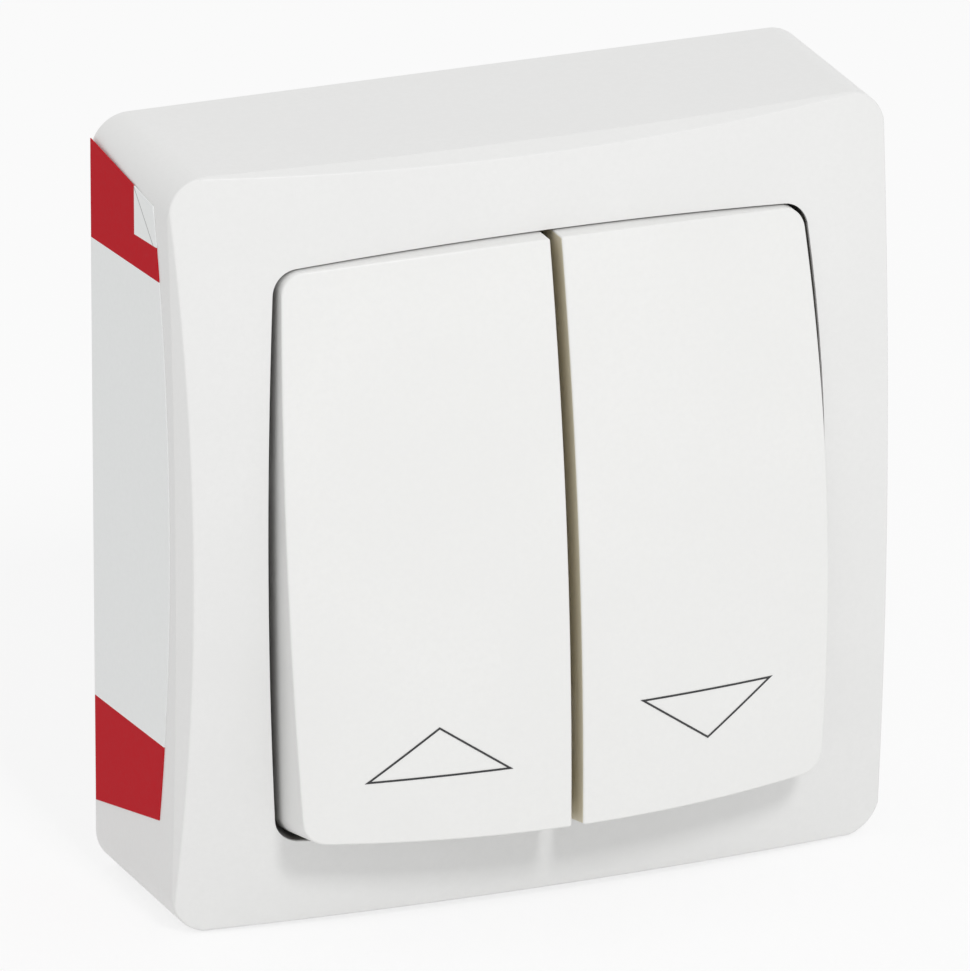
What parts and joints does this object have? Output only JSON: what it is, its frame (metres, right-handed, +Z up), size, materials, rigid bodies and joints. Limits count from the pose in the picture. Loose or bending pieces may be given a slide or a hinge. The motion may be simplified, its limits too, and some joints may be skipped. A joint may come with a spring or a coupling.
{
  "type": "roller shutter switch",
  "caption": "Surface mounted shutter switch with a deep domed surround, an up rocker and a down rocker side by side, and the contacts behind them.",
  "frame": {"origin": "centre of the flat back, on the face of the wall it is screwed to", "axes": "+X to the right as seen from the room, +Y into the wall, +Z up"},
  "size_m": [0.0771, 0.034, 0.08],
  "materials": {
    "cover": "moulded white, satin gloss",
    "rocker": "moulded white, satin gloss",
    "base": "moulded off-white",
    "housing": "moulded grey beige insulating plastic",
    "frame": "moulded off-white",
    "actuator": "moulded, slippery",
    "plunger": "moulded dark plastic",
    "spring_steel": "bright spring wire",
    "contact_brass": "stamped",
    "contact_silver": "silver faced contact",
    "brass": "stamped and machined",
    "screw_steel": "zinc plated",
    "label_paper": "printed paper, white with two red ends",
    "print_ink": "pad printed black"
  },
  "bodies": {
    "root": {"surround_cover": "cover", "wall_base": "base", "mechanism_housing": "housing", "pivot_frame": "frame", "common_bar": "brass", "fixed_contact_buttons": "contact_silver", "terminal_blocks": "brass", "terminal_screws": "screw_steel", "mechanism_screws": "screw_steel", "side_label": "label_paper", "up_output_strip": "brass", "down_output_strip": "brass"},
    "up_rocker": {"up_rocker": "rocker", "up_actuator": "actuator", "up_plunger_spring": "spring_steel", "up_printed_mark": "print_ink"},
    "up_plunger": {"up_plunger": "plunger"},
    "up_contact": {"up_seesaw_contact": "contact_brass", "up_moving_button": "contact_silver"},
    "down_rocker": {"down_rocker": "rocker", "down_actuator": "actuator", "down_plunger_spring": "spring_steel", "down_printed_mark": "print_ink"},
    "down_plunger": {"down_plunger": "plunger"},
    "down_contact": {"down_seesaw_contact": "contact_brass", "down_moving_button": "contact_silver"}
  },
  "joints": [
    {"name": "up_rocker_tilt", "type": "hinge", "parent": "root", "child": "up_rocker", "pos_m": [-0.013, -0.019, 0], "axis": [1, 0, 0], "range_deg": [0, 11.2]},
    {"name": "up_plunger_slide", "type": "slide", "parent": "up_rocker", "child": "up_plunger", "axis": [0, -0.9952, 0.0976], "range_m": [0, 0.0006], "stiffness_N_per_m": 300, "springref_m": -0.002, "deforming": ["up_plunger_spring"]},
    {"name": "up_contact_tilt", "type": "hinge", "parent": "root", "child": "up_contact", "pos_m": [-0.013, -0.0081, 0], "axis": [1, 0, 0], "range_deg": [-22.4, 0]},
    {"name": "down_rocker_tilt", "type": "hinge", "parent": "root", "child": "down_rocker", "pos_m": [0.013, -0.019, 0], "axis": [1, 0, 0], "range_deg": [0, 11.2]},
    {"name": "down_plunger_slide", "type": "slide", "parent": "down_rocker", "child": "down_plunger", "axis": [0, -0.9952, 0.0976], "range_m": [0, 0.0006], "stiffness_N_per_m": 300, "springref_m": -0.002, "deforming": ["down_plunger_spring"]},
    {"name": "down_contact_tilt", "type": "hinge", "parent": "root", "child": "down_contact", "pos_m": [0.013, -0.0081, 0], "axis": [1, 0, 0], "range_deg": [-22.4, 0]}
  ],
  "couplings": [
    {"joint": "up_contact_tilt", "follows": "up_rocker_tilt", "ratio": -2},
    {"joint": "down_contact_tilt", "follows": "down_rocker_tilt", "ratio": -2}
  ]
}
